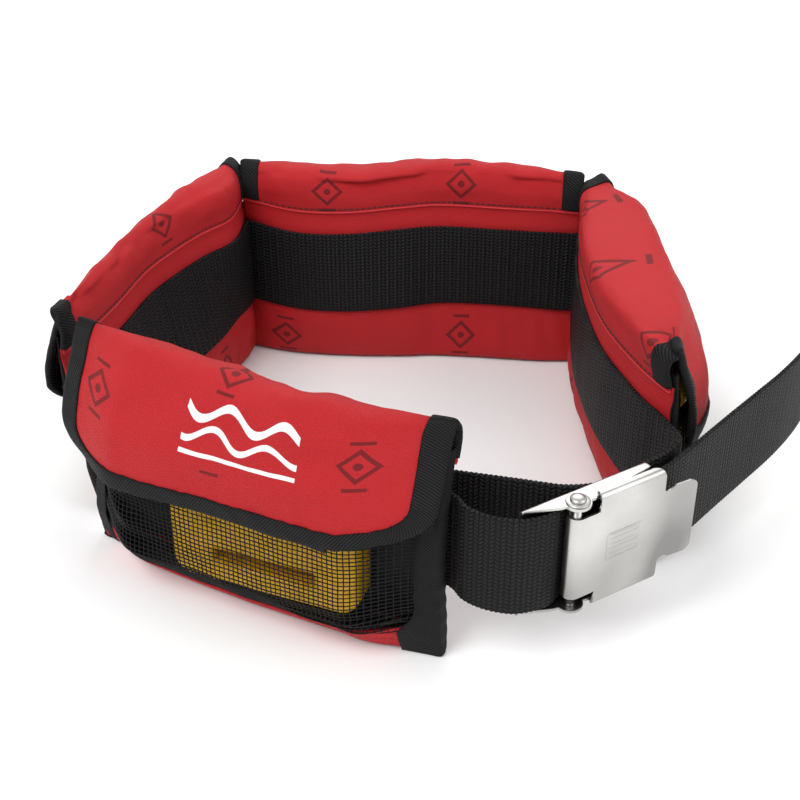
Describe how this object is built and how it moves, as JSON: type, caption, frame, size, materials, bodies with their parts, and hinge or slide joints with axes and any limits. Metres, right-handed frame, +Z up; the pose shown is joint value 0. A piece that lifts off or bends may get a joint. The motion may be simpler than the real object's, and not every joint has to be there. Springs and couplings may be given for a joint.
{
  "type": "dive weight belt",
  "caption": "Ring-shaped pocket weight belt: closed red fabric pockets with mesh windows and coated weights on black webbing, held by a steel cam-lever buckle.",
  "frame": {"origin": "middle of the belt's outline on the ground", "axes": "+Z up; -Y towards the buckle and the front pocket; +X towards the free end of the strap"},
  "size_m": [0.3974, 0.318, 0.1195],
  "materials": {
    "red_fabric": "coated twill",
    "binding_tape": "woven twill tape",
    "webbing": "ribbed nylon webbing",
    "mesh": "coated grid mesh",
    "fastener": "hook and loop",
    "lead_coat": "glossy coated lead",
    "steel": "polished stainless"
  },
  "bodies": {
    "front_pocket": {"front_back_panel": "red_fabric", "front_bottom_panel": "red_fabric", "front_mesh_window": "mesh", "front_mouth_binding": "binding_tape", "front_end_binding_a": "binding_tape", "front_end_binding_b": "binding_tape", "front_loop_strip": "fastener", "front_webbing": "webbing"},
    "front_flap_body": {"front_flap": "red_fabric", "front_flap_binding": "binding_tape", "front_hook_strip": "fastener"},
    "front_weight_body": {"front_weight": "lead_coat"},
    "left_pocket": {"left_back_panel": "red_fabric", "left_bottom_panel": "red_fabric", "left_mesh_window": "mesh", "left_mouth_binding": "binding_tape", "left_end_binding_a": "binding_tape", "left_end_binding_b": "binding_tape", "left_loop_strip": "fastener", "left_webbing": "webbing"},
    "left_flap_body": {"left_flap": "red_fabric", "left_flap_binding": "binding_tape", "left_hook_strip": "fastener"},
    "left_weight_body": {"left_weight": "lead_coat"},
    "back_pocket": {"back_back_panel": "red_fabric", "back_bottom_panel": "red_fabric", "back_mesh_window": "mesh", "back_mouth_binding": "binding_tape", "back_end_binding_a": "binding_tape", "back_end_binding_b": "binding_tape", "back_loop_strip": "fastener", "back_webbing": "webbing"},
    "back_flap_body": {"back_flap": "red_fabric", "back_flap_binding": "binding_tape", "back_hook_strip": "fastener"},
    "back_weight_body": {"back_weight": "lead_coat"},
    "right_pocket": {"right_back_panel": "red_fabric", "right_bottom_panel": "red_fabric", "right_mesh_window": "mesh", "right_mouth_binding": "binding_tape", "right_end_binding_a": "binding_tape", "right_end_binding_b": "binding_tape", "right_loop_strip": "fastener", "right_webbing": "webbing"},
    "right_flap_body": {"right_flap": "red_fabric", "right_flap_binding": "binding_tape", "right_hook_strip": "fastener"},
    "right_weight_body": {"right_weight": "lead_coat"},
    "buckle": {"running_strap": "webbing", "strap_free_end": "webbing", "fixed_strap": "webbing", "buckle_base": "steel", "pivot_pin": "steel", "pivot_washers": "steel"},
    "lever": {"buckle_lever": "steel"}
  },
  "joints": [
    {"name": "ring_flex", "type": "hinge", "parent": "back_pocket", "child": "left_pocket", "pos_m": [-0.10968, 0.12494, 0.06], "axis": [0, 0, 1], "range_deg": [-10, 10]},
    {"name": "fold_front_left", "type": "hinge", "parent": "left_pocket", "child": "front_pocket", "pos_m": [-0.17268, -0.05106, 0.06], "axis": [0, 0, 1], "range_deg": [-10, 10]},
    {"name": "fold_back_right", "type": "hinge", "parent": "back_pocket", "child": "right_pocket", "pos_m": [0.08032, 0.10494, 0.06], "axis": [0, 0, 1], "range_deg": [-10, 10]},
    {"name": "fold_right_front", "type": "hinge", "parent": "right_pocket", "child": "buckle", "pos_m": [0.10032, -0.08606, 0.06], "axis": [0, 0, 1], "range_deg": [-10, 10]},
    {"name": "lever_hinge", "type": "hinge", "parent": "buckle", "child": "lever", "pos_m": [0.05112, -0.14806, 0.06], "axis": [0, 0, -1], "range_deg": [0, 120]},
    {"name": "front_flap_hinge", "type": "hinge", "parent": "front_pocket", "child": "front_flap_body", "pos_m": [-0.0821, -0.09635, 0.1185], "axis": [-0.8944, 0.4472, 0], "range_deg": [0, 100]},
    {"name": "front_weight_slide", "type": "slide", "parent": "front_pocket", "child": "front_weight_body", "axis": [0.8944, -0.4472, 0], "range_m": [-0.036, 0.012]},
    {"name": "left_flap_hinge", "type": "hinge", "parent": "left_pocket", "child": "left_flap_body", "pos_m": [-0.14118, 0.03694, 0.1185], "axis": [0.337, 0.9415, 0], "range_deg": [0, 100]},
    {"name": "left_weight_slide", "type": "slide", "parent": "left_pocket", "child": "left_weight_body", "axis": [-0.337, -0.9415, 0], "range_m": [-0.025, 0.025]},
    {"name": "back_flap_hinge", "type": "hinge", "parent": "back_pocket", "child": "back_flap_body", "pos_m": [-0.01468, 0.11494, 0.1185], "axis": [0.9945, -0.1047, 0], "range_deg": [0, 100]},
    {"name": "back_weight_slide", "type": "slide", "parent": "back_pocket", "child": "back_weight_body", "axis": [-0.9945, 0.1047, 0], "range_m": [-0.025, 0.025]},
    {"name": "right_flap_hinge", "type": "hinge", "parent": "right_pocket", "child": "right_flap_body", "pos_m": [0.09032, 0.00944, 0.1185], "axis": [0.1041, -0.9946, 0], "range_deg": [0, 100], "deforming": ["strap_free_end"]},
    {"name": "right_weight_slide", "type": "slide", "parent": "right_pocket", "child": "right_weight_body", "axis": [-0.1041, 0.9946, 0], "range_m": [-0.025, 0.025]}
  ],
  "couplings": [
    {"joint": "fold_front_left", "follows": "ring_flex", "ratio": -0.672},
    {"joint": "fold_back_right", "follows": "ring_flex", "ratio": 1},
    {"joint": "fold_right_front", "follows": "ring_flex", "ratio": -0.739}
  ]
}
